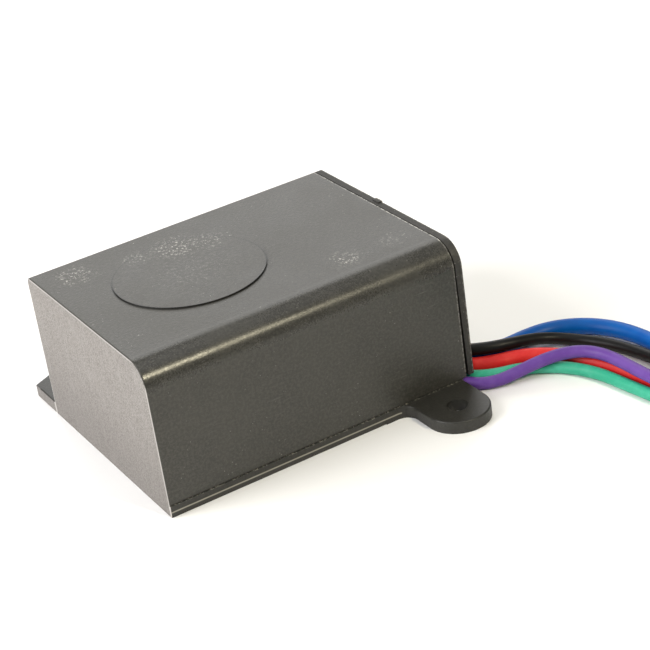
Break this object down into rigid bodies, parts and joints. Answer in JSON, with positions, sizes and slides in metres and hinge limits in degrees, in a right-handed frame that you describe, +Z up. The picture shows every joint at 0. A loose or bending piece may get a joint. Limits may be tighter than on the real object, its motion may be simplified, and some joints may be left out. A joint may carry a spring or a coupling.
{
  "type": "surge protector",
  "caption": "Small surge protector module: black moulded box with diagonal fixing ears, plug-in end cover and hook-up leads leaving a corner.",
  "frame": {"origin": "middle of the footprint of the box and its ears, on the surface it stands on", "axes": "+X along the box towards the end cover and leads, +Y towards the back ear, +Z up through the raised disc"},
  "size_m": [0.1569, 0.1561, 0.0353],
  "materials": {
    "case_black": "moulded, faint grain",
    "cover_black": "moulded, rough",
    "grommet_rubber": "matte",
    "board": "solder mask",
    "screw_steel": "zinc plated",
    "liner_film": "film",
    "spacer": "moulded",
    "bracket_steel": "tin plated",
    "pin_steel": "ground",
    "spring_steel": "oiled",
    "fuse_body": "ceramic with metal caps",
    "tube_metal": "tin plated",
    "capacitor_case": "moulded box",
    "resistor_body": "lacquered",
    "tab_tin": "tinned",
    "coil_leads": "soft insulation",
    "tie_nylon": "nylon",
    "varistor_coat": "epoxy coat",
    "arm_brass": "rolled strip",
    "bare_copper": "bare stranded copper",
    "purple_insulation": "soft insulation",
    "green_insulation": "soft insulation",
    "red_insulation": "soft insulation",
    "black_insulation": "soft insulation",
    "blue_insulation": "soft insulation"
  },
  "bodies": {
    "housing": {"enclosure": "case_black", "lead_grommet": "grommet_rubber", "circuit_board": "board", "board_screws": "screw_steel", "insulating_sheet": "liner_film", "varistor_spacer": "spacer", "arm_brackets": "bracket_steel", "arm_pins": "pin_steel", "arm_springs": "spring_steel", "line_fuses": "fuse_body", "gas_tube": "tube_metal", "capacitor": "capacitor_case", "resistors": "resistor_body", "lead_tabs": "tab_tin", "varistor_front": "varistor_coat", "varistor_middle": "varistor_coat", "varistor_back": "varistor_coat", "purple_lead_tail": "purple_insulation", "green_lead_tail": "green_insulation", "red_lead_tail": "red_insulation", "black_lead_tail": "black_insulation", "blue_lead_tail": "blue_insulation", "purple_lead": "purple_insulation", "green_lead": "green_insulation", "red_lead": "red_insulation", "black_lead": "black_insulation", "blue_lead": "blue_insulation", "purple_lead_end": "bare_copper", "green_lead_end": "bare_copper", "red_lead_end": "bare_copper", "black_lead_end": "bare_copper", "blue_lead_end": "bare_copper", "lead_coil": "coil_leads", "coil_tie": "tie_nylon"},
    "cover": {"end_cover": "cover_black"},
    "arm_front": {"disconnector_arm_front": "arm_brass"},
    "arm_middle": {"disconnector_arm_middle": "arm_brass"},
    "arm_back": {"disconnector_arm_back": "arm_brass"}
  },
  "joints": [
    {"name": "cover_slide", "type": "slide", "parent": "housing", "child": "cover", "axis": [1, 0, 0], "range_m": [0, 0.006]},
    {"name": "disconnector_front", "type": "hinge", "parent": "housing", "child": "arm_front", "pos_m": [0.002, -0.016, 0.014], "axis": [0, 1, 0], "range_deg": [0, 24]},
    {"name": "disconnector_middle", "type": "hinge", "parent": "housing", "child": "arm_middle", "pos_m": [0.002, 0, 0.014], "axis": [0, 1, 0], "range_deg": [0, 24]},
    {"name": "disconnector_back", "type": "hinge", "parent": "housing", "child": "arm_back", "pos_m": [0.002, 0.016, 0.014], "axis": [0, 1, 0], "range_deg": [0, 24]}
  ]
}
